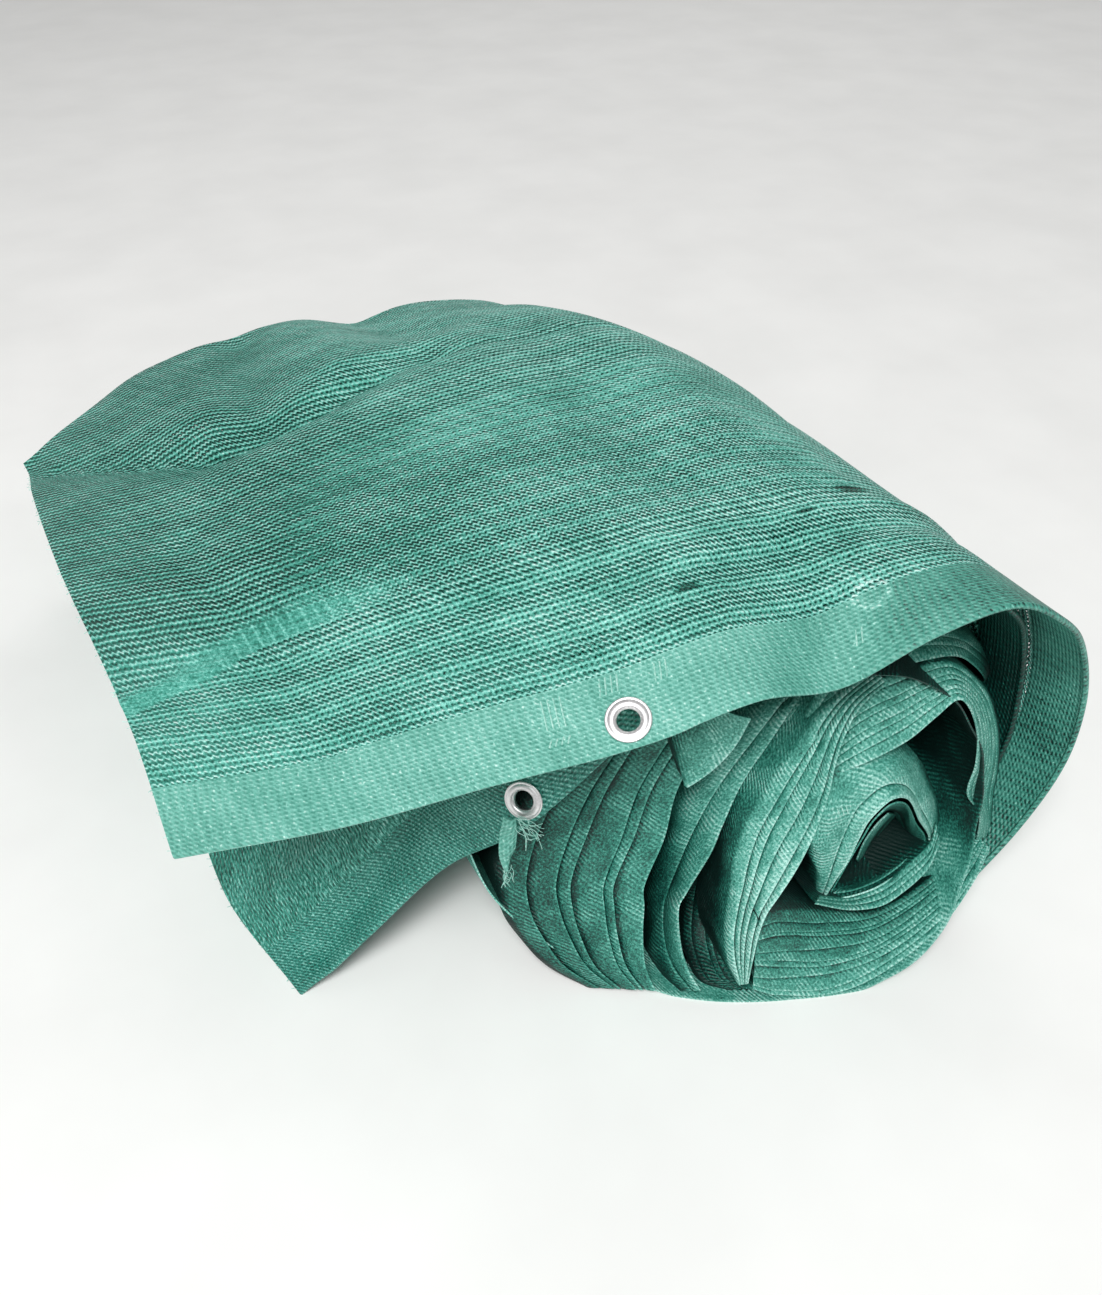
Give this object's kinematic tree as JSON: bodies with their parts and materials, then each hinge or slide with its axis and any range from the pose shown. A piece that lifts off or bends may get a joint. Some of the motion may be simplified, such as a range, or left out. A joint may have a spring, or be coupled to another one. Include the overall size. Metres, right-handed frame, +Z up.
{
  "type": "olive harvesting net",
  "caption": "Knitted green mesh ground net, loosely rolled on its side, its last doubled turn lying over the roll and out to the left, with dense hems that hold metal eyelets.",
  "frame": {"origin": "middle of the footprint, on the ground", "axes": "+Z up, -Y towards the roll's open end and the hems, +X towards the side that the net is wound round"},
  "size_m": [0.5934, 0.7128, 0.3055],
  "materials": {
    "wound_net": "knitted plastic tape, shaded between the turns",
    "knitted_net": "open knitted plastic mesh, slight sheen",
    "dense_hem": "close knitted plastic tape, slight sheen",
    "eyelet_metal": "bright plated"
  },
  "bodies": {
    "root": {"rolled_net": "wound_net", "net_sheet": "knitted_net", "outer_hem": "dense_hem", "inner_hem": "dense_hem", "outer_eyelet": "eyelet_metal", "inner_eyelet": "eyelet_metal", "covered_eyelet": "eyelet_metal"}
  },
  "joints": []
}
